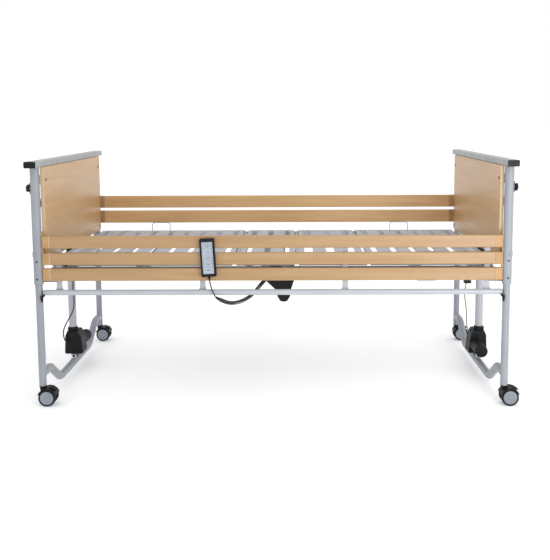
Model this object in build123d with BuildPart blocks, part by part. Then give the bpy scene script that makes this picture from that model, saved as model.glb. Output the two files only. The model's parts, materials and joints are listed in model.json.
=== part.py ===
"""Adjustable hospital bed, built as the real one is: two telescoping leg frames with an upright lift drive
each, a lifted frame with beech end boards, a four-section lying surface with a twin drive, and side rails.

Millimetres. X runs from the head end (-X) to the foot end (+X), Z is up, and the origin is on the floor under
the middle of the bed. "Right" is the side of a lying person's right hand (-Y) and "left" is +Y.
"""

import math
import os

from build123d import *

os.makedirs("parts", exist_ok=True)

# Overall layout
LEG_X = 1030  # leg centres from the middle, along the bed
LEG_Y = 470  # leg centres from the middle, across the bed
ENDS = {"head": -1, "foot": 1}
SIDES = {"right": -1, "left": 1}

# Leg frames
LEG_R, LEG_BORE = 16, 13.5
LEG_BOTTOM, LEG_TOP = 88, 800
CROSS_R, CROSS_BORE = 18, 15.5
CROSS_HIGH, CROSS_LOW = 141, 44
CROSS_OUTER_Y, CROSS_INNER_Y = 372, 240
CROSS_RUNS_Y = (-500, -386, -221, 221, 386, 500)  # the runs of the bent cross tube meet at these places
STEM_R = 8

# Castors
WHEEL_R, WHEEL_WIDTH, TRAIL = 38, 21, 23
WHEEL_INNER_Y = 8.5
AXLE_R = 4
PIVOT_R = 2.2

# Lift drives
LIFT_X = 1036
LIFT_TUBE_R, LIFT_TUBE_BORE = 19, 16
LIFT_TUBE_BOTTOM, LIFT_TUBE_TOP = 196, 625
ROD_R = 10
RUN_FIT = 0.05

# End frames and boards
SLEEVE_R, SLEEVE_BORE = 20, 17
SLEEVE_BOTTOM, SLEEVE_TOP = 549, 1066
SLOT_FLOOR = 1012
SLOT_HALF = 6
RAIL_TOP_Z = 1094
BOARD_X = (998, 1014)
BOARD_Y = 449
BOARD_Z = (651, 1066)
SCREW_Y = 422
SCREW_ZS = (676, 1010)
LATCH_Z = 975

# Lying surface: section frames of square tube, hinged at HINGE_Z
TUBE = 25
FRAME_Y = (405, 430)
FRAME_Z = (622, 647)
CHASSIS_Z = (575, 615)
HINGE_Z = 634.5
BACK_HINGE_X, THIGH_HINGE_X, KNEE_X = -170, 110, 430
HINGE_GAP = 11
DECK_END = 980
LEVER = 75
LEVER_BEND_Z = 616
PUSH_PLATE_Z = (545, 580)
BACK_LEVER_START = 30  # degrees the lever leans towards the feet when the backrest is flat
LEG_LEVER_START = 15  # degrees the lever leans towards the head when the thigh section is flat

# Side rails
PLANK_Y = (460, 480)
PLANK_X = 976
RIGHT_PLANKS = ((710, 765), (636, 690.5), (565, 621))
LEFT_PLANKS = ((772, 840), (686, 756))
STAY_XS = (-943, -308, 322, 946)
RAIL_TUBE_Z, RAIL_TUBE_R = 512, 12.5
RAIL_TUBE_X = 1008

# Handset
HANDSET_AT = (-279, -483, 671)
HANDSET_TILT = 3.07
HANDSET_SIZE = (65, 168, 18)
KEY_PITCH, KEY_SIZE = 26, (38, 18)
FACE_SIZE = (47, 140)
KEY_ROWS = 5


# Cord routes, from the handset to the twin drive and from each lift drive to the chassis
HANDSET_CORD = [
    (-273.75, -492, 573.1), (-270.5, -492.5, 551), (-262, -494, 525), (-249.8, -495.3, 497.2),
    (-238, -491, 489),
]
HANDSET_CURL = [
    (-238, -491, 489), (-205, -479, 466), (-160, -459, 459), (-112, -443, 475),
    (-75, -432, 507), (-42, -408, 545), (-20, -372, 562),
]
DRIVE_CORD = [
    (-20, -372, 562), (-13.2, -360.9, 567.2), (-5, -335, 560), (4, -295, 551), (11, -250, 541),
    (16, -205, 533), (19, -160, 527), (20, -118, 524), (20, -75.4, 523),
]
HEAD_CABLE = [
    (-1052, -38, 150), (-1054, -50, 153), (-1063, -56, 166), (-1068, -57, 190), (-1068, -55, 214),
    (-1057, -53, 243), (-1040, -51, 272), (-1022, -50, 303), (-1011, -49, 340), (-1010, -49, 380),
    (-1015, -48, 420), (-1014, -46, 462), (-1004, -44, 503), (-988, -42, 540), (-974, -40, 572),
]
FOOT_CABLE = [
    (992, -20, 184), (979, -22, 196), (971, -24, 219), (967, -26, 245), (967, -28, 272), (965, -29, 300),
    (962, -30, 330), (957, -31, 360), (953, -31, 390), (955, -32, 420), (960, -33, 446.5),
]


def write(name, piece):
    piece.label = name
    export_step(piece, f"parts/{name}.step")


def group(*solids):
    """Separate solids of one sub-part that touch but aren't one body of metal."""
    return Compound(children=list(solids))


def block(x, y, z):
    """A box over three (low, high) spans, given in either order, added to the part being built."""
    (x0, x1), (y0, y1), (z0, z1) = sorted(x), sorted(y), sorted(z)
    with Locations(((x0 + x1) / 2, (y0 + y1) / 2, (z0 + z1) / 2)):
        Box(x1 - x0, y1 - y0, z1 - z0)


def cut_block(x, y, z):
    (x0, x1), (y0, y1), (z0, z1) = sorted(x), sorted(y), sorted(z)
    with Locations(((x0 + x1) / 2, (y0 + y1) / 2, (z0 + z1) / 2)):
        Box(x1 - x0, y1 - y0, z1 - z0, mode=Mode.SUBTRACT)


def solid_block(x, y, z, edge=0):
    with BuildPart() as piece:
        block(x, y, z)
        if edge:
            fillet(piece.edges(), edge)
    return piece.part


def square_tube(x, y, z, wall=2):
    """A length of rectangular tube over three spans, hollow along its longest side."""
    spans = [sorted(x), sorted(y), sorted(z)]
    lengths = [high - low for low, high in spans]
    along = lengths.index(max(lengths))
    inner = [
        (low, high) if axis == along else (low + wall, high - wall)
        for axis, (low, high) in enumerate(spans)
    ]
    with BuildPart() as tube:
        block(*spans)
        cut_block(*inner)
    return tube.part


def rod_between(start, end, radius, bore=0, mode=Mode.ADD):
    """A round bar or tube from one point to another, added to the part being built."""
    start, end = Vector(*start), Vector(*end)
    plane = Plane(origin=start, z_dir=end - start)
    with BuildSketch(plane) as ring:
        Circle(radius)
        if bore:
            Circle(bore, mode=Mode.SUBTRACT)
    extrude(ring.sketch, amount=(end - start).length, mode=mode)


# ---------------------------------------------------------------- leg frames
def cross_path(side_x):
    points = [
        (-LEG_Y, CROSS_HIGH),
        (-CROSS_OUTER_Y, CROSS_HIGH),
        (-CROSS_INNER_Y, CROSS_LOW),
        (CROSS_INNER_Y, CROSS_LOW),
        (CROSS_OUTER_Y, CROSS_HIGH),
        (LEG_Y, CROSS_HIGH),
    ]
    return FilletPolyline(*[(side_x, y, z) for y, z in points], radius=60)


def leg_frame(end):
    x = ENDS[end] * LEG_X
    solids = []
    for side in (-1, 1):
        with BuildPart() as leg:
            rod_between((x, side * LEG_Y, LEG_BOTTOM), (x, side * LEG_Y, LEG_TOP), LEG_R, LEG_BORE)
        with BuildPart() as socket:
            rod_between((x, side * LEG_Y, LEG_BOTTOM), (x, side * LEG_Y, 122), LEG_BORE)
            rod_between(
                (x, side * LEG_Y, LEG_BOTTOM), (x, side * LEG_Y, 118), STEM_R + RUN_FIT, mode=Mode.SUBTRACT
            )
        solids += [leg.part, socket.part]
    with BuildPart() as cross:
        with BuildLine():
            path = cross_path(x)
        with BuildSketch(Plane(origin=path @ 0, z_dir=path % 0)):
            Circle(CROSS_R)
        sweep(path=path)
        for side in (-1, 1):
            block((x - 13, x + 13), (side * 15, side * 21), (CROSS_LOW, 82))
        with BuildSketch(Plane(origin=path @ 0, z_dir=path % 0)):
            Circle(CROSS_BORE)
        sweep(path=path, mode=Mode.SUBTRACT)
        for side in (-1, 1):
            rod_between(
                (x, side * LEG_Y, 80), (x, side * LEG_Y, 200), LEG_R, mode=Mode.SUBTRACT
            )
        rod_between((x, -30, 70), (x, 30, 70), 5, mode=Mode.SUBTRACT)
    with BuildPart() as pin:
        rod_between((x, -24, 70), (x, 24, 70), 5)
    for low, high in zip(CROSS_RUNS_Y, CROSS_RUNS_Y[1:]):
        reach = Pos(x, (low + high) / 2, 100) * Box(80, high - low, 200)
        solids += (cross.part & reach).solids()
    solids.append(pin.part)
    write(f"{end}_leg_frame", group(*solids))


# ---------------------------------------------------------------- castors
def castor(end, side):
    """A twin-wheel castor: fork and hood, wheels on their axle, and the brake pedal, trailing to +X."""
    x, y = ENDS[end] * LEG_X, SIDES[side] * LEG_Y
    axle = (x + TRAIL, WHEEL_R)
    name = f"castor_{end}_{side}"
    with BuildPart() as fork:
        rod_between((x, y, 84), (x, y, 117), STEM_R)
        with BuildSketch(Plane.XZ.offset(-y - 6)):
            with Locations(axle):
                Circle(27)
            with BuildLine():
                Polyline(
                    (x - 12, 84), (x + 14, 84), (axle[0] + 26, 60), (axle[0] + 20, 30),
                    (axle[0] - 22, 30), (x - 12, 70), close=True,
                )
            make_face()
        extrude(amount=12)
        rod_between((x, y, 79), (x, y, 84), 14)
        with BuildSketch(Plane.XZ.offset(-y - 28)):
            with Locations(axle):
                Circle(WHEEL_R + 5)
                Circle(WHEEL_R + 1.5, mode=Mode.SUBTRACT)
            with Locations((axle[0], axle[1] - 32)):
                Rectangle(120, 90, mode=Mode.SUBTRACT)
        extrude(amount=56)
        rod_between(
            (axle[0], y - 7, axle[1]), (axle[0], y + 7, axle[1]), AXLE_R + RUN_FIT, mode=Mode.SUBTRACT
        )
        pivot = (axle[0] + 11, 82)
        for out in (-1, 1):
            rod_between((pivot[0], y + out * 13.1, pivot[1]), (pivot[0], y + out * 17, pivot[1]), PIVOT_R)
            block((pivot[0] - 2, pivot[0] + 2), (y + out * 13.1, y + out * 17), (78, pivot[1]))
    write(f"{name}_fork", fork.part)

    with BuildPart() as wheels:
        rod_between((axle[0], y - 29, axle[1]), (axle[0], y + 29, axle[1]), AXLE_R)
        for out in (-1, 1):
            rod_between(
                (axle[0], y + out * WHEEL_INNER_Y, axle[1]),
                (axle[0], y + out * (WHEEL_INNER_Y + WHEEL_WIDTH), axle[1]),
                WHEEL_R,
            )
        rims = wheels.edges().filter_by(GeomType.CIRCLE).filter_by(lambda e: e.radius > WHEEL_R - 1)
        fillet(rims, 2.5)
    write(f"{name}_wheels", wheels.part)

    with BuildPart() as pedal:
        with BuildSketch(Plane.XZ.offset(-y - 13)):
            with BuildLine():
                Polyline(
                    (axle[0] + 10, 80.5), (axle[0] + 20, 77.8), (axle[0] + 33, 68.5),
                    (axle[0] + 38.5, 69), (axle[0] + 38.5, 72), (axle[0] + 21, 83),
                    (axle[0] + 10, 83.5), close=True,
                )
            make_face()
        extrude(amount=26)
        fillet(pedal.edges().filter_by(Axis.Y), 0.5)
        rod_between((pivot[0], y - 13, pivot[1]), (pivot[0], y + 13, pivot[1]), PIVOT_R)
    write(f"{name}_pedal", pedal.part)


# ---------------------------------------------------------------- lift drives
def lift_drive(end):
    """The gearbox, its motor and its tail eye; the motor points to the right at the foot end."""
    s = ENDS[end]
    x = s * LEG_X
    with BuildPart() as drive:
        with BuildSketch(Plane.XZ.offset(-38)):
            with BuildLine():
                Polyline(
                    (s * 978, 92), (s * 986, 172), (s * 1002, 204), (s * 1056, 204),
                    (s * 1066, 180), (s * 1070, 92), (s * 1064, 87), (s * 984, 87), close=True,
                )
            make_face()
        extrude(amount=76)
        fillet(drive.edges(), 3)
        motor_x = s * 1015
        rod_between((motor_x, -s * 30, 132), (motor_x, -s * 150, 132), 30)
        fillet(drive.edges().filter_by(GeomType.CIRCLE).sort_by(Axis.Y)[0 if s > 0 else -1], 4)
        block((x - 11, x + 11), (-14, 14), (62.5, 90))
        rod_between((x, -20, 70), (x, 20, 70), 5 + RUN_FIT, mode=Mode.SUBTRACT)
        rod_between(
            (s * LIFT_X, 0, LIFT_TUBE_BOTTOM), (s * LIFT_X, 0, 206), LIFT_TUBE_R, mode=Mode.SUBTRACT
        )
    write(f"{end}_lift_drive", drive.part)

    with BuildPart() as tube:
        axis = s * LIFT_X
        rod_between((axis, 0, LIFT_TUBE_BOTTOM), (axis, 0, LIFT_TUBE_TOP - 9), LIFT_TUBE_R, LIFT_TUBE_BORE)
        rod_between((axis, 0, LIFT_TUBE_TOP - 12), (axis, 0, LIFT_TUBE_TOP), LIFT_TUBE_R)
        rod_between(
            (axis, 0, LIFT_TUBE_TOP - 14), (axis, 0, LIFT_TUBE_TOP + 1), ROD_R + RUN_FIT, mode=Mode.SUBTRACT
        )
    write(f"{end}_lift_tube", tube.part)


def lift_rods():
    with BuildPart() as rods:
        for s in ENDS.values():
            rod_between((s * LIFT_X, 0, 450), (s * LIFT_X, 0, 866), ROD_R)
            rod_between((s * LIFT_X, 0, 862), (s * LIFT_X, 0, 888), 13)
    write("lift_rods", rods.part)


# ---------------------------------------------------------------- end frames, boards and top rails
def end_frame(end):
    s = ENDS[end]
    x = s * LEG_X
    solids = []
    for side in (-1, 1):
        y = side * LEG_Y
        with BuildPart() as post:
            rod_between((x, y, SLEEVE_BOTTOM), (x, y, SLEEVE_TOP), SLEEVE_R)
            with BuildSketch(Plane.XY.offset(673)):
                with Locations((x, y)):
                    Circle(22.5)
                with Locations((x - s * 12, y)):
                    Rectangle(28, 60, mode=Mode.SUBTRACT)
            extrude(amount=18)
            rod_between((s * 1049, y, LATCH_Z), (s * 1050.5, y, LATCH_Z), 9)
            rod_between((x, y, 540), (x, y, SLEEVE_TOP - 8), SLEEVE_BORE, mode=Mode.SUBTRACT)
            cut_block((s * 1000, s * SLOT_FLOOR), (y - SLOT_HALF, y + SLOT_HALF), (558, 1067))
            rod_between((s * 1030, y, LATCH_Z), (s * 1060, y, LATCH_Z), 4 + RUN_FIT, mode=Mode.SUBTRACT)
        solids.append(post.part)
        for z in SCREW_ZS:
            with BuildPart() as lug:
                block((s * 1014, s * 1020), (side * 402, side * 462), (z - 20, z + 20))
                rod_between((x, y, z - 30), (x, y, z + 30), SLEEVE_R, mode=Mode.SUBTRACT)
                rod_between(
                    (s * 1010, side * SCREW_Y, z), (s * 1024, side * SCREW_Y, z), 2.6, mode=Mode.SUBTRACT
                )
            solids.append(lug.part)
    with BuildPart() as head_bar:
        block((s * 1022, s * 1050), (-452.5, 452.5), (888, 918))
        cut_block((s * 1024, s * 1048), (-455, 455), (890, 916))
        for side in (-1, 1):
            rod_between(
                (x, side * LEG_Y, 880), (x, side * LEG_Y, 930), SLEEVE_R, mode=Mode.SUBTRACT
            )
    solids.append(head_bar.part)
    write(f"{end}_end_frame", group(*solids))


def leg_glides():
    """Plastic rings pressed into the sleeves, which the legs run in."""
    with BuildPart() as glides:
        for s in ENDS.values():
            for side in (-1, 1):
                for low, high in ((549, 561), (676, 688)):
                    rod_between(
                        (s * LEG_X, side * LEG_Y, low), (s * LEG_X, side * LEG_Y, high),
                        SLEEVE_BORE, LEG_R + RUN_FIT,
                    )
    write("leg_glides", glides.part)


def top_rails():
    with BuildPart() as rails:
        for s in ENDS.values():
            with BuildSketch(Plane.XZ.offset(-526)):
                with Locations((s * 1029.5, (SLEEVE_TOP + RAIL_TOP_Z) / 2)):
                    RectangleRounded(51, RAIL_TOP_Z - SLEEVE_TOP, 5)
                    RectangleRounded(46, RAIL_TOP_Z - SLEEVE_TOP - 5, 3, mode=Mode.SUBTRACT)
            extrude(amount=1052)
    write("top_rails", rails.part)
    with BuildPart() as caps:
        for s in ENDS.values():
            for y in (-529, 526):
                with BuildSketch(Plane.XZ.offset(-y - 3)):
                    with Locations((s * 1029.5, (SLEEVE_TOP + RAIL_TOP_Z) / 2)):
                        RectangleRounded(51, RAIL_TOP_Z - SLEEVE_TOP, 5)
                extrude(amount=3)
    write("top_rail_caps", caps.part)


def end_board(end):
    s = ENDS[end]
    with BuildPart() as board:
        block([s * v for v in BOARD_X], (-BOARD_Y, BOARD_Y), BOARD_Z)
        fillet(board.edges().filter_by(Axis.X), 2)
        for side in (-1, 1):
            for z in SCREW_ZS:
                rod_between(
                    (s * 990, side * SCREW_Y, z), (s * 1015, side * SCREW_Y, z), 2.6, mode=Mode.SUBTRACT
                )
        fillet(board.faces().filter_by(Axis.X).edges().filter_by(GeomType.LINE), 1)
    write(f"{end}_board", board.part)


def board_screws():
    with BuildPart() as screws:
        for s in ENDS.values():
            for side in (-1, 1):
                for z in SCREW_ZS:
                    rod_between((s * 998, side * SCREW_Y, z), (s * 995.5, side * SCREW_Y, z), 6)
                    rod_between((s * 998, side * SCREW_Y, z), (s * 1021, side * SCREW_Y, z), 2.5)
    write("board_screws", screws.part)


# ---------------------------------------------------------------- chassis and lying surface
def chassis():
    z0, z1 = CHASSIS_Z
    solids = []
    for side in (-1, 1):
        y = (side * FRAME_Y[0], side * FRAME_Y[1])
        solids.append(square_tube((-985, 985), y, CHASSIS_Z))
        for s in ENDS.values():
            with BuildPart() as corner:
                block((s * 962, s * 1044), (side * 430, side * 458), (551, 611))
                cut_block((s * 940, s * 1024), (side * 434, side * 470), (530, 607))
                rod_between(
                    (s * LEG_X, side * LEG_Y, 540), (s * LEG_X, side * LEG_Y, 640),
                    SLEEVE_R, mode=Mode.SUBTRACT,
                )
            solids.append(corner.part)
            solids.append(solid_block((s * 880, s * 910), y, (z1, z1 + 6.5)))
        for x in (-120, 40):
            solids.append(solid_block((x, x + 30), y, (z1, FRAME_Z[0])))
    for x in (-985, -612, -50, 25, 640, 960):
        solids.append(square_tube((x, x + TUBE), (-FRAME_Y[0], FRAME_Y[0]), CHASSIS_Z))
    # A bracket for the calf section's ratchet, and the strap that carries the foot cable's clip.
    solids.append(solid_block((665, 671), (-308, -292), (524, 600)))
    solids.append(solid_block((671, 744), (-308, -292), (524, 530)))
    solids.append(solid_block((744, 750), (-308, -292), (524, 560)))
    solids.append(solid_block((962, 970), (-37, -29), (463, 575)))
    write("chassis_frame", group(*solids))
    write("foot_cable_clip", solid_block((948, 983), (-45, -21), (448, 463), 3))


def section(low, high, slats):
    """Side tubes, end tubes and evenly spaced slats of one part of the lying surface."""
    solids = []
    for side in (-1, 1):
        solids.append(square_tube((low, high), (side * FRAME_Y[0], side * FRAME_Y[1]), FRAME_Z))
    for x in (low, high - TUBE):
        solids.append(square_tube((x, x + TUBE), (-FRAME_Y[0], FRAME_Y[0]), FRAME_Z))
    room = high - low - 2 * TUBE
    width = 62
    gap = (room - slats * width) / (slats + 1)
    for n in range(slats):
        x = low + TUBE + gap + n * (width + gap)
        solids.append(solid_block((x, x + width), (-FRAME_Y[0], FRAME_Y[0]), (FRAME_Z[1] - 10, FRAME_Z[1])))
    return solids


def ear(axis_x, toward, y_span, reach, bore):
    """A hinge plate from a section's side tube to the pin, with its round end about the pin."""
    y0, y1 = sorted(y_span)
    with BuildPart() as plate:
        block((axis_x, axis_x + toward * reach), (y0, y1), (HINGE_Z - 10, HINGE_Z + 10))
        rod_between((axis_x, y0, HINGE_Z), (axis_x, y1, HINGE_Z), 10)
        rod_between((axis_x, y0 - 1, HINGE_Z), (axis_x, y1 + 1, HINGE_Z), bore, mode=Mode.SUBTRACT)
    return plate.part


def moving_ears(axis_x, toward):
    """Plates on the inner faces of the side tubes of the part that swings."""
    return [ear(axis_x, toward, (s * 399, s * 405), 50, 5 + RUN_FIT) for s in (-1, 1)]


def fixed_ears(axis_x, toward):
    """Plates set one plate further in, with a packer to their own side tube."""
    solids = []
    for s in (-1, 1):
        solids.append(ear(axis_x, toward, (s * 392, s * 398.5), 50, 5))
        packer = sorted((axis_x + toward * 13, axis_x + toward * 50))
        solids.append(solid_block(packer, (s * 398.5, s * 405), (HINGE_Z - 10, HINGE_Z + 10)))
    return solids


def hinge_pins(axis_x):
    pins = []
    for s in (-1, 1):
        with BuildPart() as pin:
            rod_between((axis_x, s * 389, HINGE_Z), (axis_x, s * 408, HINGE_Z), 5)
            rod_between((axis_x, s * 389, HINGE_Z), (axis_x, s * 391.5, HINGE_Z), 8)
        pins.append(pin.part)
    return pins


def lever(axis_x, toward, lean, y):
    """The torsion shaft of a swinging section with the plates that carry it, and its lever and roller."""
    tip_x = axis_x + lean[0] * LEVER
    tip_z = HINGE_Z - lean[1] * LEVER
    with BuildPart() as shaft:
        rod_between((axis_x, -375, HINGE_Z), (axis_x, 375, HINGE_Z), 9)
        for s in (-1, 1):
            block((axis_x, axis_x + toward * HINGE_GAP), (s * 340, s * 360), (HINGE_Z - 8, HINGE_Z + 8))
    with BuildPart() as arm:
        with BuildSketch(Plane.XZ.offset(-y - 6)):
            with BuildLine():
                side_x, side_z = lean[1] * 5, lean[0] * 5
                Polyline(
                    (axis_x - 8, HINGE_Z), (axis_x + 8, HINGE_Z), (axis_x + 8, LEVER_BEND_Z),
                    (tip_x + side_x, tip_z + side_z), (tip_x - side_x, tip_z - side_z),
                    (axis_x - 8, LEVER_BEND_Z), close=True,
                )
            make_face()
        extrude(amount=12)
        rod_between((tip_x, y - 14, tip_z), (tip_x, y + 14, tip_z), 10)
        rod_between((axis_x, y - 20, HINGE_Z), (axis_x, y + 20, HINGE_Z), 9, mode=Mode.SUBTRACT)
    return [shaft.part, arm.part]


def retainer(low, high, side):
    """A bent wire loop that keeps the mattress from sliding off sideways."""
    foot, top = (side * 432.5, 634), (side * 449, 688)
    points = [(low, *foot), (low, *top), (high, *top), (high, *foot)]
    with BuildPart() as wire:
        with BuildLine():
            path = FilletPolyline(*points, radius=14)
        with BuildSketch(Plane(origin=path @ 0, z_dir=path % 0)):
            Circle(2.5)
        sweep(path=path)
    return wire.part


def lying_surface():
    back_end = BACK_HINGE_X - HINGE_GAP
    seat = section(BACK_HINGE_X + HINGE_GAP, THIGH_HINGE_X - HINGE_GAP, 2)
    seat += fixed_ears(BACK_HINGE_X, 1) + fixed_ears(THIGH_HINGE_X, -1)
    write("seat_section", group(*seat))

    lean = math.radians(BACK_LEVER_START)
    back = section(-DECK_END, back_end, 8) + moving_ears(BACK_HINGE_X, -1)
    back += lever(BACK_HINGE_X, -1, (math.sin(lean), math.cos(lean)), 20)
    back += [retainer(-705, -605, s) for s in (-1, 1)]
    write("backrest_section", group(*back))

    lean = math.radians(LEG_LEVER_START)
    thigh = section(THIGH_HINGE_X + HINGE_GAP, KNEE_X - HINGE_GAP, 2) + moving_ears(THIGH_HINGE_X, 1)
    thigh += fixed_ears(KNEE_X, -1) + hinge_pins(KNEE_X)
    thigh += lever(THIGH_HINGE_X, 1, (-math.sin(lean), math.cos(lean)), -20)
    write("thigh_section", group(*thigh))

    calf = section(KNEE_X + HINGE_GAP, DECK_END, 5) + moving_ears(KNEE_X, 1)
    calf += [retainer(638, 738, s) for s in (-1, 1)]
    write("calf_section", group(*calf))

    write("hinge_pins", group(*hinge_pins(BACK_HINGE_X), *hinge_pins(THIGH_HINGE_X)))

    with BuildPart() as knobs:
        for side in (-1, 1):
            rod_between((-917, side * 430, HINGE_Z), (-917, side * 434, HINGE_Z), 5)
            rod_between((-917, side * 434, HINGE_Z), (-917, side * 446, HINGE_Z), 11)
            block((-937, -897), (side * 436, side * 444), (HINGE_Z - 5, HINGE_Z + 5))
    write("clamp_knobs", knobs.part)


def twin_drive():
    """The drive housing under the seat with its control unit, and the two push rods."""
    with BuildPart() as housing:
        with BuildSketch(Plane.XZ.offset(-75)):
            with BuildLine():
                Polyline(
                    (-60, 575), (68, 575), (68, 545), (98, 530), (96, 472), (80, 425), (76, 392),
                    (62, 369), (44, 364), (26, 369), (13, 392), (10, 420), (-34, 462), (-60, 492), close=True,
                )
            make_face()
        extrude(amount=150)
        fillet(housing.edges().filter_by(Axis.Y), 5)
        fillet(housing.edges().filter_by(GeomType.LINE, reverse=True), 1.5)
        rod_between((-62, 20, 560), (64, 20, 560), 9 + RUN_FIT, mode=Mode.SUBTRACT)
        rod_between((70, -20, 560), (-56, -20, 560), 9 + RUN_FIT, mode=Mode.SUBTRACT)
    write("twin_drive", housing.part)

    with BuildPart() as back_rod:
        plate = BACK_HINGE_X + LEVER * math.sin(math.radians(BACK_LEVER_START)) + 10 + 2.5
        rod_between((plate + 5, 20, 560), (60, 20, 560), 9)
        block((plate, plate + 6), (0, 42), PUSH_PLATE_Z)
    write("back_push_rod", back_rod.part)

    with BuildPart() as leg_rod:
        plate = THIGH_HINGE_X - LEVER * math.sin(math.radians(LEG_LEVER_START)) - 10 - 2.5
        rod_between((plate - 5, -20, 560), (-50, -20, 560), 9)
        block((plate - 6, plate), (-42, 0), PUSH_PLATE_Z)
    write("leg_push_rod", leg_rod.part)


# ---------------------------------------------------------------- side rails
def rail_planks(name, side, spans):
    with BuildPart() as planks:
        for span in spans:
            block((-PLANK_X, PLANK_X), (side * PLANK_Y[0], side * PLANK_Y[1]), span)
        fillet(planks.edges().filter_by(Axis.X), 5)
    write(f"{name}_rail_planks", planks.part)


def rail_glides(name, side, spans):
    """The plank ends at each post, on a strip that runs in the post's slot."""
    y = side * LEG_Y
    low, high = spans[-1][0], spans[0][1]
    with BuildPart() as glides:
        for s in ENDS.values():
            for span in spans:
                with BuildSketch(Plane.YZ.offset(s * PLANK_X)):
                    with Locations((y, (span[0] + span[1]) / 2)):
                        RectangleRounded(20, span[1] - span[0], 5)
                extrude(amount=s * 31)
            block((s * 1005, s * 1011.3), (y - 5, y + 5), (low + 2, high + 20))
    write(f"{name}_rail_glides", glides.part)


def right_rail_frame():
    y = -LEG_Y
    with BuildPart() as tube:
        rod_between(
            (-RAIL_TUBE_X, y, RAIL_TUBE_Z), (RAIL_TUBE_X, y, RAIL_TUBE_Z), RAIL_TUBE_R, RAIL_TUBE_R - 2
        )
    solids = [tube.part]
    for x in STAY_XS:
        with BuildPart() as stay:
            block((x - 12, x + 12), (-PLANK_Y[0], -PLANK_Y[0] + 5), (RAIL_TUBE_Z, 758))
            rod_between(
                (x - 20, y, RAIL_TUBE_Z), (x + 20, y, RAIL_TUBE_Z), RAIL_TUBE_R, mode=Mode.SUBTRACT
            )
        solids.append(stay.part)
    write("right_rail_frame", group(*solids))
    with BuildPart() as fittings:
        for s in ENDS.values():
            drop_x, drop_y = s * 1011, -493
            with BuildSketch(Plane.XZ.offset(-drop_y)):
                with BuildLine():
                    Polyline(
                        (drop_x, 505), (drop_x + 4, 504), (drop_x + 6.5, 498), (drop_x + 6.5, 490),
                        (drop_x + 5, 480), (drop_x + 3, 474), (drop_x, 472), close=True,
                    )
                make_face()
            revolve(axis=Axis((drop_x, drop_y, 0), (0, 0, 1)))
            block((s * 1002, s * 1009), (-494, -478), (497, 505))
            rod_between(
                (s * 990, y, RAIL_TUBE_Z), (s * RAIL_TUBE_X, y, RAIL_TUBE_Z), RAIL_TUBE_R, mode=Mode.SUBTRACT
            )
            rod_between((s * RAIL_TUBE_X, y, RAIL_TUBE_Z), (s * 1009.2, y, RAIL_TUBE_Z), RAIL_TUBE_R)
        with Locations((HANDSET_AT[0] - 3.5, HANDSET_AT[1] + 0.5, HANDSET_AT[2] + 64)):
            Cylinder(4, 5, rotation=(90, 0, 0))
    write("right_rail_fittings", fittings.part)


def latch_knobs():
    for end, s in ENDS.items():
        for side, t in SIDES.items():
            y = t * LEG_Y
            with BuildPart() as knob:
                rod_between((s * 1047.3, y, LATCH_Z), (s * 1052, y, LATCH_Z), 4)
                rod_between((s * 1051.5, y, LATCH_Z), (s * 1066, y, LATCH_Z), 17.5)
                fillet(knob.edges().filter_by(GeomType.CIRCLE).sort_by(Axis.X)[-1 if s > 0 else 0], 3)
            write(f"latch_{end}_{side}", knob.part)


# ---------------------------------------------------------------- handset
def handset():
    tilt = math.radians(HANDSET_TILT)
    x_dir = (math.cos(tilt), 0, math.sin(tilt))
    back = Plane(origin=HANDSET_AT, x_dir=x_dir, z_dir=(0, -1, 0))
    width, height, depth = HANDSET_SIZE
    rows = [(0, (row - 2) * KEY_PITCH) for row in range(KEY_ROWS)]
    with BuildPart() as shell:
        with BuildSketch(back):
            RectangleRounded(width, height, 4)
        extrude(amount=depth)
        fillet(shell.faces().sort_by(Axis.Y)[0].edges(), 2)
        with BuildSketch(back.offset(depth)):
            with Locations(*rows):
                Rectangle(KEY_SIZE[0] + 1.2, KEY_SIZE[1] + 1)
        extrude(amount=-6, mode=Mode.SUBTRACT)
        with BuildSketch(back):
            with Locations((0, 41)):
                SlotOverall(60, 10, rotation=90)
        extrude(amount=4, mode=Mode.SUBTRACT)
        with BuildSketch(back.offset(depth)):
            RectangleRounded(*FACE_SIZE, 2.5)
        extrude(amount=-1, mode=Mode.SUBTRACT)
        with BuildSketch(Plane(origin=back.from_local_coords((0, -84, 9)), z_dir=-back.y_dir)):
            Circle(5)
        extrude(amount=14, taper=8)
    write("handset_shell", shell.part)

    with BuildPart() as face:
        with BuildSketch(back.offset(depth - 1)):
            RectangleRounded(*FACE_SIZE, 2.5)
            with Locations(*rows):
                Rectangle(KEY_SIZE[0] + 1.2, KEY_SIZE[1] + 1, mode=Mode.SUBTRACT)
        extrude(amount=1.2)
    write("handset_face", face.part)

    for row, spot in enumerate(rows):
        with BuildPart() as key:
            with BuildSketch(back.offset(depth - 4.2)):
                with Locations(spot):
                    RectangleRounded(KEY_SIZE[0], KEY_SIZE[1], 3)
            extrude(amount=5.6)
            fillet(key.faces().sort_by(Axis.Y)[0].edges(), 1)
            pivot_ends = [back.from_local_coords((0, spot[1] + dy, depth - 4.2)) for dy in (-8, 8)]
            rod_between(*pivot_ends, 1.2)
        write(f"handset_key_{KEY_ROWS - row}", key.part)


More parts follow.
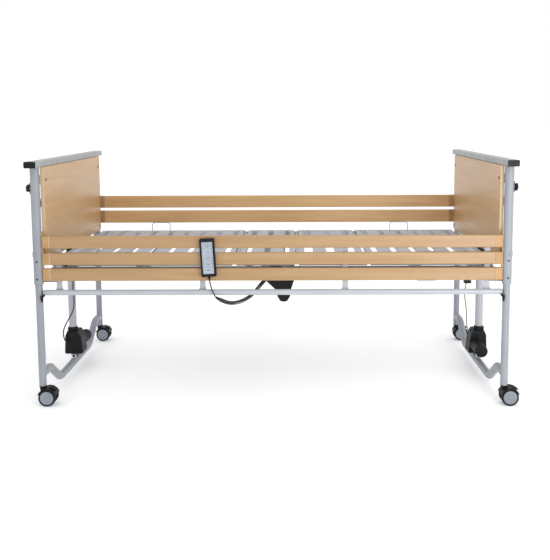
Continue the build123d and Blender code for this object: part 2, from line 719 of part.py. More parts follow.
# ---------------------------------------------------------------- cords
def cord(name, points, radius):
    """A cord along hand-set points, each corner an arc as large as its two runs allow."""
    vectors = [Vector(*p) for p in points]
    radii = []
    for before, here, after in zip(vectors, vectors[1:], vectors[2:]):
        half_turn = math.radians((here - before).get_angle(after - here)) / 2
        shorter = min((here - before).length, (after - here).length)
        radii.append(0.45 * shorter / math.tan(half_turn))
    with BuildPart() as piece:
        with BuildLine():
            path = FilletPolyline(*points, radius=radii)
        with BuildSketch(Plane(origin=path @ 0, z_dir=path % 0)):
            Circle(radius)
        sweep(path=path)
    print(name, "radii", [round(r) for r in radii], "length", round(path.length),
          "volume share", round(piece.part.volume / (math.pi * radius**2 * path.length), 4))
    write(name, piece.part)


for end_name in ENDS:
    leg_frame(end_name)
    lift_drive(end_name)
    end_frame(end_name)
    end_board(end_name)
    for side_name in SIDES:
        castor(end_name, side_name)
lift_rods()
leg_glides()
top_rails()
board_screws()
chassis()
lying_surface()
twin_drive()
rail_planks("right", -1, RIGHT_PLANKS)
rail_planks("left", 1, LEFT_PLANKS)
rail_glides("right", -1, RIGHT_PLANKS)
rail_glides("left", 1, LEFT_PLANKS)
right_rail_frame()
latch_knobs()
handset()
cord("handset_cord_upper", HANDSET_CORD, 2.75)
cord("handset_curl", HANDSET_CURL, 9.5)
cord("handset_cord_lower", DRIVE_CORD, 2.75)
cord("head_lift_cable", HEAD_CABLE, 3)
cord("foot_lift_cable", FOOT_CABLE, 2.5)
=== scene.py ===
"""The finished look of the adjustable hospital bed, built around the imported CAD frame. Metres, same frame."""

import json
import math

import bmesh
import bpy
from mathutils import Matrix, Vector


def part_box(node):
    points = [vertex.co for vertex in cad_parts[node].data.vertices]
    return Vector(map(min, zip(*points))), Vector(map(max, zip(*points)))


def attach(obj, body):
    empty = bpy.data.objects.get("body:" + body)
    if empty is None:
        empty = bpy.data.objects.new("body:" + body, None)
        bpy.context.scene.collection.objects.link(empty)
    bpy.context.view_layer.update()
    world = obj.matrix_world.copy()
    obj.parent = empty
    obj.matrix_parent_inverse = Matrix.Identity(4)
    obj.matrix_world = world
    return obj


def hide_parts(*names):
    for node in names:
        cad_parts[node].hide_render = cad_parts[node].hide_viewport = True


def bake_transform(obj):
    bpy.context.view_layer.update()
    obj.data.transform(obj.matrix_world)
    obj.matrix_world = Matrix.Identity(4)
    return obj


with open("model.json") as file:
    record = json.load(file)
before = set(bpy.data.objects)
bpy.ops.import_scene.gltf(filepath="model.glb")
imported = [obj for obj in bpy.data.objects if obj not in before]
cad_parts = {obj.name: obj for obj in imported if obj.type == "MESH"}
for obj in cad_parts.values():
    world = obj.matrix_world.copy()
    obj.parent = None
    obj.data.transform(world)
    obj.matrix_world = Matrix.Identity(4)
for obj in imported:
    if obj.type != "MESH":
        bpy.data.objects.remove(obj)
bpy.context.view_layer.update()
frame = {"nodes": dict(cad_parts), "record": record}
nodes = frame["nodes"]
ENDS = {"head": -1, "foot": 1}
SIDES = {"right": -1, "left": 1}
LEG_X, LEG_Y = 1.03, 0.47
LIFT_X = 1.036
POST_FACE_Y = 0.4897
POST_SCREW_ZS = (0.576, 0.653)
PLANK_X = 0.976
STAY_XS = (-0.943, -0.308, 0.322, 0.946)
LATCH_X, LATCH_Z = 1.0473, 0.975
FRAME_TUBE, SLAT_WIDTH = 0.025, 0.062
FRAME_Z, CHASSIS_Z = (0.622, 0.647), (0.575, 0.615)
RIVET_Y, RIVET_STEPS = 0.392, (0.014, 0.048)
RIGHT_PLANKS = ((0.710, 0.765), (0.636, 0.6905), (0.565, 0.621))
LEFT_PLANKS = ((0.772, 0.840), (0.686, 0.756))


# ---------------------------------------------------------------- camera, light and floor
def camera():
    """A long lens a little above the boards, seen square on from the right side of the bed."""
    yaw, pitch, roll = math.radians(-0.43), math.radians(5.89), math.radians(0.25)
    ahead = Vector((math.sin(yaw) * math.cos(pitch), math.cos(yaw) * math.cos(pitch), -math.sin(pitch)))
    right = Vector((math.cos(yaw), -math.sin(yaw), 0))
    down = ahead.cross(right)
    right_r = right * math.cos(roll) + down * math.sin(roll)
    down_r = down * math.cos(roll) - right * math.sin(roll)
    data = bpy.data.cameras.new("camera")
    data.sensor_fit = "HORIZONTAL"
    data.sensor_width = 36
    data.lens = 46.66
    data.shift_x = -0.0247
    data.shift_y = -0.160
    data.clip_end = 60
    obj = bpy.data.objects.new("camera", data)
    bpy.context.scene.collection.objects.link(obj)
    turn = Matrix((right_r, -down_r, -ahead)).transposed().to_4x4()
    obj.matrix_world = Matrix.Translation((0.097, -3.551, 1.273)) @ turn
    bpy.context.scene.camera = obj


def area_light(name, place, aim, size, power):
    data = bpy.data.lights.new(name, "AREA")
    data.shape = "RECTANGLE"
    data.size, data.size_y = size
    data.energy = power
    obj = bpy.data.objects.new(name, data)
    bpy.context.scene.collection.objects.link(obj)
    obj.location = place
    obj.rotation_euler = (Vector(aim) - Vector(place)).to_track_quat("-Z", "Y").to_euler()


def studio():
    world = bpy.data.worlds.new("studio")
    bpy.context.scene.world = world
    world.use_nodes = True
    world.node_tree.nodes["Background"].inputs["Color"].default_value = (1, 1, 1, 1)
    world.node_tree.nodes["Background"].inputs["Strength"].default_value = 1.0
    area_light("window", (1.55, -2.55, 0.95), (0.7, -0.4, 0.7), (1.1, 1.4), 26)
    area_light("fill", (0.6, -2.4, 2.7), (0.5, 0.5, 0.7), (2.2, 0.8), 10)
    bpy.ops.mesh.primitive_plane_add(size=40, location=(0, 6, -0.0005))
    floor = bpy.context.object
    floor.name = "floor"
    mat, tree, shader = new_material("floor_white", (1, 1, 1), 0.9)
    shader.inputs["Emission Color"].default_value = (1, 1, 1, 1)
    shader.inputs["Emission Strength"].default_value = 0.14
    floor.data.materials.append(mat)
    bpy.context.scene.view_settings.view_transform = "Standard"


# ---------------------------------------------------------------- materials
def linear(rgb):
    """Linear colour from 0-255 display values."""
    return tuple(c / 12.92 if c <= 0.04045 else ((c + 0.055) / 1.055) ** 2.4 for c in (v / 255 for v in rgb))


def new_material(name, colour, roughness, metallic=0.0):
    mat = bpy.data.materials.new(name)
    mat.use_nodes = True
    tree = mat.node_tree
    shader = tree.nodes["Principled BSDF"]
    shader.inputs["Base Color"].default_value = (*colour, 1)
    shader.inputs["Roughness"].default_value = roughness
    shader.inputs["Metallic"].default_value = metallic
    mat.diffuse_color = (*colour, 1)
    return mat, tree, shader


def node(tree, kind, **inputs):
    """A shader node with its input defaults set by name."""
    made = tree.nodes.new(kind)
    for key, value in inputs.items():
        made.inputs[key].default_value = value
    return made


def object_coordinates(tree, scale=(1, 1, 1)):
    coords = tree.nodes.new("ShaderNodeTexCoord")
    mapping = tree.nodes.new("ShaderNodeMapping")
    mapping.inputs["Scale"].default_value = scale
    tree.links.new(coords.outputs["Object"], mapping.inputs["Vector"])
    return mapping.outputs["Vector"]


def ramp(tree, source, stops):
    made = tree.nodes.new("ShaderNodeValToRGB")
    elements = made.color_ramp.elements
    while len(elements) < len(stops):
        elements.new(0.5)
    for element, (position, colour) in zip(elements, stops):
        element.position = position
        element.color = (*colour, 1) if len(colour) == 3 else colour
    tree.links.new(source, made.inputs["Fac"])
    return made.outputs["Color"]


def bump(tree, shader, height, distance, strength=1.0):
    made = tree.nodes.new("ShaderNodeBump")
    made.inputs["Distance"].default_value = distance
    made.inputs["Strength"].default_value = strength
    tree.links.new(height, made.inputs["Height"])
    tree.links.new(made.outputs["Normal"], shader.inputs["Normal"])


def noise(tree, vector, scale, detail=4.0, roughness=0.5):
    made = node(tree, "ShaderNodeTexNoise", Scale=scale, Detail=detail, Roughness=roughness)
    tree.links.new(vector, made.inputs["Vector"])
    return made.outputs["Fac"]


def powder_coat(name, rgb, roughness=0.38):
    """Baked powder coat: a fine orange peel, and a slightly uneven sheen."""
    colour = linear(rgb)
    mat, tree, shader = new_material(name, colour, roughness)
    spots = object_coordinates(tree)
    shade = noise(tree, spots, 9, 3)
    low, high = (tuple(c * k for c in colour) for k in (0.94, 1.03))
    tree.links.new(ramp(tree, shade, [(0.3, low), (0.7, high)]), shader.inputs["Base Color"])
    sheen = noise(tree, spots, 30, 2)
    dull, bright = (roughness + 0.07,) * 3, (roughness - 0.06,) * 3
    tree.links.new(ramp(tree, sheen, [(0.35, dull), (0.65, bright)]), shader.inputs["Roughness"])
    bump(tree, shader, noise(tree, spots, 900, 2), 0.00012, 0.5)
    shader.inputs["Specular IOR Level"].default_value = 0.45
    return mat


def plastic(name, rgb, roughness=0.5, grain=1600, depth=0.0001):
    """Moulded plastic with a spark-eroded grain and faint handling marks."""
    colour = linear(rgb)
    mat, tree, shader = new_material(name, colour, roughness)
    spots = object_coordinates(tree)
    wear = noise(tree, spots, 22, 5, 0.6)
    dull, bright = (roughness + 0.12,) * 3, (roughness - 0.1,) * 3
    tree.links.new(ramp(tree, wear, [(0.35, dull), (0.7, bright)]), shader.inputs["Roughness"])
    low, high = (tuple(c * k for c in colour) for k in (0.85, 1.15))
    shade = ramp(tree, noise(tree, spots, 14, 3), [(0.3, low), (0.7, high)])
    tree.links.new(shade, shader.inputs["Base Color"])
    bump(tree, shader, noise(tree, spots, grain, 2), depth, 0.6)
    return mat


def dark_plastic(name, rgb, roughness):
    """Black moulded plastic, which throws back less of the room than a painted part."""
    mat = plastic(name, rgb, roughness)
    mat.node_tree.nodes["Principled BSDF"].inputs["Specular IOR Level"].default_value = 0.22
    return mat


def metal(name, rgb, roughness, streak=(1, 1, 1), streak_scale=300):
    """Bare metal with fine lines drawn along the direction in which streak is small."""
    colour = linear(rgb)
    mat, tree, shader = new_material(name, colour, roughness, 1.0)
    lines = noise(tree, object_coordinates(tree, streak), streak_scale, 6, 0.7)
    dull, bright = (roughness + 0.12,) * 3, (max(roughness - 0.08, 0.04),) * 3
    tree.links.new(ramp(tree, lines, [(0.3, dull), (0.7, bright)]), shader.inputs["Roughness"])
    bump(tree, shader, lines, 0.00006, 0.4)
    return mat


def beech(name, stretch, edge_axis=None, light=1.0):
    """Beech laminate: soft bands along the grain, short dark flecks, and paler narrow edges."""
    tones = ((189, 150, 102), (181, 142, 94), (196, 159, 112))
    # light scales every tone: a painted brightness that makes lit and shaded copies of the same beech
    base, dark, pale = (tuple(light * c for c in linear(tone)) for tone in tones)
    mat, tree, shader = new_material(name, base, 0.42)
    along = object_coordinates(tree, stretch)
    bands = noise(tree, along, 6, 5, 0.55)
    colour = ramp(tree, bands, [(0.3, dark), (0.5, base), (0.72, pale)])
    flecks = noise(tree, object_coordinates(tree, tuple(v * 3.2 for v in stretch)), 42, 3, 0.5)
    fleck_mask = ramp(tree, flecks, [(0.60, (0, 0, 0)), (0.70, (1, 1, 1))])
    mix = tree.nodes.new("ShaderNodeMix")
    mix.data_type = "RGBA"
    mix.inputs["B"].default_value = (*linear((158, 120, 80)), 1)
    strength = node(tree, "ShaderNodeMath")
    strength.operation = "MULTIPLY"
    strength.inputs[1].default_value = 0.45
    tree.links.new(fleck_mask, strength.inputs[0])
    tree.links.new(strength.outputs[0], mix.inputs["Factor"])
    tree.links.new(colour, mix.inputs["A"])
    result = mix.outputs["Result"]
    if edge_axis is not None:
        geometry = tree.nodes.new("ShaderNodeNewGeometry")
        turn = tree.nodes.new("ShaderNodeVectorTransform")
        turn.vector_type = "NORMAL"
        turn.convert_from, turn.convert_to = "WORLD", "OBJECT"
        split = tree.nodes.new("ShaderNodeSeparateXYZ")
        size = node(tree, "ShaderNodeMath")
        size.operation = "ABSOLUTE"
        tree.links.new(geometry.outputs["True Normal"], turn.inputs["Vector"])
        tree.links.new(turn.outputs["Vector"], split.inputs["Vector"])
        tree.links.new(split.outputs["XYZ".index(edge_axis)], size.inputs[0])
        band = tree.nodes.new("ShaderNodeMix")
        band.data_type = "RGBA"
        band.inputs["A"].default_value = (*linear((206, 180, 142)), 1)
        cover = ramp(tree, size.outputs[0], [(0.55, (0, 0, 0)), (0.75, (1, 1, 1))])
        tree.links.new(cover, band.inputs["Factor"])
        tree.links.new(result, band.inputs["B"])
        result = band.outputs["Result"]
    tree.links.new(result, shader.inputs["Base Color"])
    bump(tree, shader, noise(tree, along, 60, 4), 0.00008, 0.5)
    shader.inputs["Coat Weight"].default_value = 0.5
    shader.inputs["Coat Roughness"].default_value = 0.4
    return mat


def materials():
    made = {
        "frame_paint": powder_coat("frame_paint", (143, 147, 154)),
        # tube_paint is the grey powder coat painted lighter, painted light for the round tube that catches the
        # direct light
        "tube_paint": powder_coat("tube_paint", (172, 175, 182)),
        "chassis_paint": powder_coat("chassis_paint", (150, 153, 160)),
        "deck_paint": powder_coat("deck_paint", (172, 176, 184)),
        "rail_aluminium": powder_coat("rail_aluminium", (150, 152, 153), 0.34),
        "beech_board": beech("beech_board", (5, 0.45, 7), "X", 1.0),
        # near planks painted darker as painted shade, far planks painted lighter as painted light, relative to
        # the boards
        "beech": beech("beech", (0.5, 6, 7), None, 0.72),
        "beech_far_painted_lit": beech("beech_far_painted_lit", (0.5, 6, 7), None, 1.15),
        "beech_plastic": plastic("beech_plastic", (168, 132, 88), 0.42),
        "black_plastic": dark_plastic("black_plastic", (20, 20, 24), 0.42),
        "drive_plastic": dark_plastic("drive_plastic", (14, 17, 18), 0.5),
        "castor_black": dark_plastic("castor_black", (22, 22, 24), 0.42),
        "castor_grey": plastic("castor_grey", (126, 133, 142), 0.45),
        "tyre": dark_plastic("tyre", (18, 18, 19), 0.6),
        "rod_steel": metal("rod_steel", (214, 215, 218), 0.14, (40, 40, 1), 90),
        "screw_steel": metal("screw_steel", (168, 168, 172), 0.32),
        "screw_cap": plastic("screw_cap", (128, 92, 58), 0.5),
        "glide_plastic": plastic("glide_plastic", (130, 132, 136), 0.5),
        "handset_face": plastic("handset_face", (156, 166, 176), 0.4, 2400, 0.00004),
        "handset_key": plastic("handset_key", (164, 174, 185), 0.36, 2400, 0.00004),
        "print_dark": plastic("print_dark", (36, 44, 58), 0.5, 2400, 0.00004),
        "cord_black": plastic("cord_black", (20, 20, 23), 0.48, 1200),
        "cord_grey": plastic("cord_grey", (44, 47, 50), 0.42, 1200),
        "cable_grey": plastic("cable_grey", (92, 94, 98), 0.5, 1200),
        # dark grey for small screws, tabs and washer centres, also used as painted shade inside the post slots
        "slot_dark": plastic("slot_dark", (44, 42, 44), 0.7),
        # seam bands: a painted shadow line and a painted highlight line at the plank joints
        "seam_painted_shadow": plastic("seam_painted_shadow", (112, 72, 40), 0.6),
        "seam_painted_highlight": plastic("seam_painted_highlight", (226, 206, 174), 0.5),
        "lamp_blue": plastic("lamp_blue", (60, 110, 190), 0.45),
    }
    return made


def dress_cad():
    """Gives every shown CAD node its finished material."""
    for entry in frame["record"]["subparts"]:
        name, slot = entry["node"], entry["material_slot"]
        if name.endswith("_board"):
            slot = "beech_board"
        # the far planks take the lighter copy of beech, painted light
        if name == "left_rail_planks":
            slot = "beech_far_painted_lit"
        if name == "board_screws":
            slot = "screw_cap"
        if slot == "castor_wheel":
            slot = "tyre"
        obj = nodes[name]
        obj.data.materials.clear()
        obj.data.materials.append(MATS[slot])


# ---------------------------------------------------------------- mesh helpers
def link(obj):
    bpy.context.scene.collection.objects.link(obj)
    return obj


def lathe(name, origin, axis, profile, mats, segments=64, lobes=0, lobe_depth=0.0):
    """A turned piece: profile holds (distance along the axis, radius, material index of the next band)."""
    axis = Vector(axis).normalized()
    side = axis.orthogonal().normalized()
    other = axis.cross(side)
    origin = Vector(origin)
    mesh = bpy.data.meshes.new(name)
    verts, faces, bands = [], [], []
    for along, radius, _ in profile:
        for k in range(segments):
            angle = math.tau * k / segments
            reach = max(radius, 1e-5) * (1 + lobe_depth * (math.cos(lobes * angle) - 1))
            verts.append(origin + axis * along + (side * math.cos(angle) + other * math.sin(angle)) * reach)
    for row in range(len(profile) - 1):
        for k in range(segments):
            a, b = row * segments + k, row * segments + (k + 1) % segments
            faces.append((a, b, b + segments, a + segments))
            bands.append(profile[row][2])
    mesh.from_pydata(verts, [], faces)
    for m in mats:
        mesh.materials.append(MATS[m])
    for face, band in zip(mesh.polygons, bands):
        face.material_index = band
        face.use_smooth = True
    mesh.validate()
    obj = link(bpy.data.objects.new(name, mesh))
    tidy_normals(obj)
    return obj


def tidy_normals(obj, weld=1e-6):
    work = bmesh.new()
    work.from_mesh(obj.data)
    bmesh.ops.remove_doubles(work, verts=work.verts, dist=weld)
    bmesh.ops.recalc_face_normals(work, faces=work.faces)
    work.to_mesh(obj.data)
    work.free()


def box_piece(name, low, high, mat, bevel=0.001, segments=3):
    """A block with rounded edges over two opposite corners."""
    low, high = Vector(low), Vector(high)
    work = bmesh.new()
    bmesh.ops.create_cube(work, size=1)
    for v in work.verts:
        v.co = Vector((low[i] + high[i]) / 2 + v.co[i] * (high[i] - low[i]) for i in range(3))
    bmesh.ops.bevel(work, geom=work.edges, offset=bevel, segments=segments, profile=0.5, affect="EDGES")
    mesh = bpy.data.meshes.new(name)
    work.to_mesh(mesh)
    work.free()
    mesh.materials.append(MATS[mat])
    for face in mesh.polygons:
        face.use_smooth = True
    return link(bpy.data.objects.new(name, mesh))


def join(name, objs):
    """One mesh object from several."""
    bpy.ops.object.select_all(action="DESELECT")
    for o in objs:
        o.select_set(True)
    bpy.context.view_layer.objects.active = objs[0]
    bpy.ops.object.join()
    objs[0].name = name
    return objs[0]


def nurbs(name, points, radius, mat, resolution=8):
    """A round cord whose line is a NURBS spline with those control points."""
    data = bpy.data.curves.new(name, "CURVE")
    data.dimensions = "3D"
    data.bevel_depth = radius
    data.bevel_resolution = 4
    data.use_fill_caps = True
    data.resolution_u = resolution
    spline = data.splines.new("NURBS")
    spline.points.add(len(points) - 1)
    for point, place in zip(spline.points, points):
        point.co = (*place, 1)
    spline.order_u = 3
    spline.use_endpoint_u = True
    data.materials.append(MATS[mat])
    return link(bpy.data.objects.new(name, data))


def line_of(points, resolution=12):
    """The points along the NURBS spline that has these control points."""
    curve = nurbs("route", points, 0, "cord_black", resolution)
    curve.data.bevel_depth = 0
    bpy.context.view_layer.update()
    mesh = bpy.data.meshes.new_from_object(curve)
    found = [v.co.copy() for v in mesh.vertices]
    data = curve.data
    bpy.data.objects.remove(curve)
    bpy.data.curves.remove(data)
    bpy.data.meshes.remove(mesh)
    return found


def tube_mesh(name, path, radius, mat, sides=12):
    """A mesh tube along the points of a path, with rounded ends."""
    verts, faces = [], []
    tangent = (path[1] - path[0]).normalized()
    up = tangent.orthogonal().normalized()
    for i, place in enumerate(path):
        ahead = path[min(i + 1, len(path) - 1)] - path[max(i - 1, 0)]
        tangent = ahead.normalized()
        up = (up - tangent * up.dot(tangent)).normalized()
        across = tangent.cross(up)
        for k in range(sides):
            angle = math.tau * k / sides
            verts.append(place + (up * math.cos(angle) + across * math.sin(angle)) * radius)
    for i in range(len(path) - 1):
        for k in range(sides):
            a, b = i * sides + k, i * sides + (k + 1) % sides
            faces.append((a, b, b + sides, a + sides))
    faces.append(tuple(range(sides))[::-1])
    faces.append(tuple(range((len(path) - 1) * sides, len(path) * sides)))
    mesh = bpy.data.meshes.new(name)
    mesh.from_pydata(verts, [], faces)
    mesh.materials.append(MATS[mat])
    for face in mesh.polygons:
        face.use_smooth = True
    return link(bpy.data.objects.new(name, mesh))


def length_of(path):
    return sum((b - a).length for a, b in zip(path, path[1:]))


# ---------------------------------------------------------------- cords
HANDSET_CORD = [
    (-0.27375, -0.492, 0.5731), (-0.2705, -0.4925, 0.551), (-0.262, -0.494, 0.525),
    (-0.2498, -0.4953, 0.4972), (-0.238, -0.491, 0.489),
]
HANDSET_CURL = [
    (-0.238, -0.491, 0.489), (-0.205, -0.479, 0.466), (-0.160, -0.459, 0.459), (-0.112, -0.443, 0.475),
    (-0.075, -0.432, 0.507), (-0.042, -0.408, 0.545), (-0.020, -0.372, 0.562),
]
DRIVE_CORD = [
    (-0.020, -0.372, 0.562), (-0.0132, -0.3609, 0.5672), (-0.005, -0.335, 0.560), (0.004, -0.295, 0.551),
    (0.011, -0.250, 0.541), (0.016, -0.205, 0.533), (0.019, -0.160, 0.527), (0.020, -0.118, 0.524),
    (0.020, -0.0754, 0.523),
]
HEAD_CABLE = [
    (-1.052, -0.038, 0.150), (-1.054, -0.050, 0.153), (-1.063, -0.056, 0.166), (-1.068, -0.057, 0.190),
    (-1.068, -0.055, 0.214), (-1.057, -0.053, 0.243), (-1.040, -0.051, 0.272), (-1.022, -0.050, 0.303),
    (-1.011, -0.049, 0.340), (-1.010, -0.049, 0.380), (-1.015, -0.048, 0.420), (-1.014, -0.046, 0.462),
    (-1.004, -0.044, 0.503), (-0.988, -0.042, 0.540), (-0.974, -0.040, 0.572),
]
FOOT_CABLE = [
    (0.992, -0.020, 0.184), (0.979, -0.022, 0.196), (0.971, -0.024, 0.219), (0.967, -0.026, 0.245),
    (0.967, -0.028, 0.272), (0.965, -0.029, 0.300), (0.962, -0.030, 0.330), (0.957, -0.031, 0.360),
    (0.953, -0.031, 0.390), (0.955, -0.032, 0.420), (0.960, -0.033, 0.4465),
]
CORD_R = 0.00275
CURL_OUTER_R = 0.0095
CURL_PITCH = 0.0066


def helix(route, radius, pitch):
    """Turns of a curly cord about a route, opening from its line and closing back onto it at the ends."""
    points = []
    total = length_of(route)
    up = (route[1] - route[0]).normalized().orthogonal().normalized()
    steps = 12
    turns = total / pitch
    count = int(turns * steps)
    position, segment = 0.0, 0
    for i in range(count + 1):
        target = total * i / count
        while segment < len(route) - 2 and position + (route[segment + 1] - route[segment]).length < target:
            position += (route[segment + 1] - route[segment]).length
            segment += 1
        piece = route[segment + 1] - route[segment]
        place = route[segment] + piece * ((target - position) / piece.length)
        tangent = piece.normalized()
        up = (up - tangent * up.dot(tangent)).normalized()
        across = tangent.cross(up)
        angle = math.tau * i / steps
        ease = min(1.0, i / (steps * 1.5), (count - i) / (steps * 1.5))
        points.append(place + (up * math.cos(angle) + across * math.sin(angle)) * radius * ease)
    return points


def cords():
    lead_path = line_of(HANDSET_CORD)
    lead = tube_mesh("handset_lead", lead_path, CORD_R, "cord_black")
    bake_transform(lead)
    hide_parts("handset_cord_upper")

    route = line_of(HANDSET_CURL)
    turns = helix(route, CURL_OUTER_R - CORD_R, CURL_PITCH)
    coil_path = line_of(turns + [Vector(p) for p in DRIVE_CORD[1:]], 4)
    coil = tube_mesh("handset_coil", coil_path, CORD_R, "cord_grey", 8)
    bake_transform(coil)
    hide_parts("handset_curl", "handset_cord_lower")

    for name, points, radius, mat, base, cad in (
        ("head_drive_cable", HEAD_CABLE, 0.003, "cord_black", "head_base", "head_lift_cable"),
        ("foot_drive_cable", FOOT_CABLE, 0.0025, "cable_grey", "foot_base", "foot_lift_cable"),
    ):
        path = line_of(points)
        cable = tube_mesh(name, path, radius, mat)
        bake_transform(cable)
        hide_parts(cad)


# ---------------------------------------------------------------- castors
def castor_wheels(end, side):
    """Two tyred wheels with dished grey faces on one axle."""
    name = f"castor_{end}_{side}"
    low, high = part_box(f"{name}_wheels")
    centre = (low + high) / 2
    made = []
    for out in (-1, 1):
        profile = [
            (0.0085, 0.010, 0), (0.0085, 0.0345, 0), (0.0100, 0.0372, 0), (0.0130, 0.0380, 0),
            (0.0250, 0.0380, 0), (0.0280, 0.0372, 0), (0.0292, 0.0345, 0), (0.0290, 0.0310, 0),
            (0.0278, 0.0298, 1), (0.0284, 0.0286, 1), (0.0290, 0.0270, 1), (0.0293, 0.0150, 1),
            (0.0286, 0.0140, 1), (0.0286, 0.0125, 1), (0.0293, 0.0115, 1), (0.0295, 0.0, 1),
        ]
        made.append(lathe(f"{name}_wheel{out}", centre, (0, out, 0), profile, ["tyre", "castor_grey"], 72))
    axle = [(-0.0283, 0.0039, 0), (0.0283, 0.0039, 0)]
    made.append(lathe(f"{name}_axle", centre, (0, 1, 0), axle, ["rod_steel"], 24))
    wheels = join(f"{name}_tyres", made)
    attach(wheels, f"{name}_wheel")
    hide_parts(f"{name}_wheels")


def leg_ferrules():
    """Black rings that close the legs over the castor stems."""
    for end, s in ENDS.items():
        for side, t in SIDES.items():
            profile = [
                (0.0855, 0.0082, 0), (0.0855, 0.0155, 0), (0.0860, 0.0163, 0), (0.0888, 0.0166, 0),
                (0.0893, 0.0161, 0),
            ]
            at = (s * LEG_X, t * LEG_Y, 0)
            ring = lathe(f"ferrule_{end}_{side}", at, (0, 0, 1), profile, ["castor_black"], 48)
            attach(ring, f"{end}_base")


def place(obj, matrix):
    """Moves a new piece's mesh, not its object."""
    obj.data.transform(matrix)
    obj.data.update()
    return obj


def ship(name, objs, body):
    """Joins pieces of one look and fixes them to a body."""
    made = join(name, objs) if len(objs) > 1 else objs[0]
    made.name = name
    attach(made, body)
    return made


def disc(name, place_at, axis, radius, height, mat, dome=0.3, segments=32):
    """A low domed button or screw head standing on a surface."""
    profile = [
        (0, radius, 0), (height * (1 - dome), radius, 0), (height * 0.95, radius * 0.85, 0),
        (height, radius * 0.5, 0), (height, 0, 0),
    ]
    return lathe(name, place_at, axis, profile, [mat], segments)


# ---------------------------------------------------------------- lift drives
def lift_drive_trim(end):
    """Ribs, a plate, studs, tube collar, motor cap and band, pin washers and top bush of one lift drive."""
    s = ENDS[end]
    body = f"{end}_base"
    black, steel = [], []
    for face in (-1, 1):
        y = face * 0.038
        for n in range(5):
            z = 0.100 + n * 0.015
            low = (s * 0.998, y, z)
            high = (s * 1.052, y + face * 0.0022, z + 0.005)
            black.append(box_piece("rib", *ordered(low, high), "drive_plastic", 0.0009, 2))
        plate_low, plate_high = (s * 1.000, y, 0.176), (s * 1.050, y + face * 0.0018, 0.198)
        black.append(box_piece("plate", *ordered(plate_low, plate_high), "drive_plastic", 0.0008, 2))
        for px, pz in ((1.060, 0.098), (1.056, 0.170), (0.994, 0.168), (1.050, 0.196), (1.006, 0.196)):
            at = (s * px, y, pz)
            black.append(disc("stud", at, (0, face, 0), 0.0038, 0.0024, "black_plastic", 0.3, 18))
    black.append(lathe("collar", (s * LIFT_X, 0, 0), (0, 0, 1), [
        (0.203, 0.0193, 0), (0.203, 0.0260, 0), (0.206, 0.0270, 0), (0.212, 0.0262, 0), (0.219, 0.0222, 0),
        (0.221, 0.0200, 0), (0.221, 0.0193, 0)], ["drive_plastic"], 56))
    turn = -s
    motor_x = s * 1.015
    black.append(lathe("motor_cap", (motor_x, 0, 0.132), (0, turn, 0), [
        (0.118, 0.0300, 0), (0.118, 0.0312, 0), (0.134, 0.0312, 0), (0.136, 0.0300, 0), (0.146, 0.0296, 0),
        (0.150, 0.0262, 0), (0.1515, 0.0200, 0), (0.1515, 0.0, 0)], ["drive_plastic"], 64, 24, 0.008))
    black.append(lathe("motor_band", (motor_x, 0, 0.132), (0, turn, 0), [
        (0.038, 0.0300, 0), (0.038, 0.0328, 0), (0.046, 0.0328, 0), (0.048, 0.0300, 0)],
        ["drive_plastic"], 64))
    for y in (-1, 1):
        steel.append(lathe("washer", (s * 1.030, 0, 0.070), (0, y, 0), [
            (0.021, 0.0070, 0), (0.021, 0.0122, 0), (0.0262, 0.0124, 0), (0.0275, 0.0112, 0),
            (0.0275, 0.0072, 0), (0.0240, 0.0066, 1), (0.0240, 0, 0)], ["rod_steel", "slot_dark"], 40))
    ship(f"{end}_drive_trim", black, body)
    ship(f"{end}_drive_screws", steel, body)
    guide = lathe(f"{end}_tube_bush", (s * LIFT_X, 0, 0), (0, 0, 1), [
        (0.606, 0.0193, 0), (0.606, 0.0206, 0), (0.6225, 0.0206, 0), (0.6262, 0.0190, 0), (0.6270, 0.0150, 0),
        (0.6270, 0.0103, 0), (0.6252, 0.0103, 0)], ["black_plastic"], 56)
    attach(guide, body)


def ordered(low, high):
    """The two corners of a box, lower one first on every axis."""
    return tuple(min(a, b) for a, b in zip(low, high)), tuple(max(a, b) for a, b in zip(low, high))


# ---------------------------------------------------------------- posts and planks
def post_trim():
    """Small dark screws on the outer faces of the posts."""
    screws = []
    for s in ENDS.values():
        for t in SIDES.values():
            for z in POST_SCREW_ZS:
                at = (s * LEG_X, t * POST_FACE_Y, z)
                screws.append(disc("screw", at, (0, t, 0), 0.0042, 0.0022, "slot_dark", 0.4, 20))
    ship("post_screws", screws, "bed")


def arc_shell(centre, radii, heights, towards, open_angle, mat, steps=40):
    """Part of a thin-walled upright tube, left open on the side that faces along X."""
    verts, faces = [], []
    inner, outer = radii
    start = open_angle + (0 if towards > 0 else math.pi)
    sweep = math.tau - 2 * open_angle
    for k in range(steps + 1):
        angle = start + sweep * k / steps
        for radius in (inner, outer):
            for z in heights:
                verts.append((centre[0] + radius * math.cos(angle), centre[1] + radius * math.sin(angle), z))
    for k in range(steps):
        a, b = 4 * k, 4 * k + 4
        faces += [(a, b, b + 1, a + 1), (a + 2, a + 3, b + 3, b + 2)]
        faces += [(a, a + 2, b + 2, b), (a + 1, b + 1, b + 3, a + 3)]
    last = 4 * steps
    faces += [(0, 1, 3, 2), (last, last + 2, last + 3, last + 1)]
    mesh = bpy.data.meshes.new("shell")
    mesh.from_pydata(verts, [], faces)
    mesh.materials.append(MATS[mat])
    obj = link(bpy.data.objects.new("shell", mesh))
    tidy_normals(obj)
    return obj


def post_slot_shade():
    """A dark sheet inside each post, painted shade seen through its slot above the leg."""
    made = []
    for s in ENDS.values():
        for t in SIDES.values():
            # painted shade: a dark sheet where the empty post above the leg is only in shade
            made.append(arc_shell(
                (s * LEG_X, t * LEG_Y), (0.0164, 0.0168), (0.692, 1.0575), -s, math.radians(24), "slot_dark"
            ))
    ship("post_slot_shade", made, "bed")


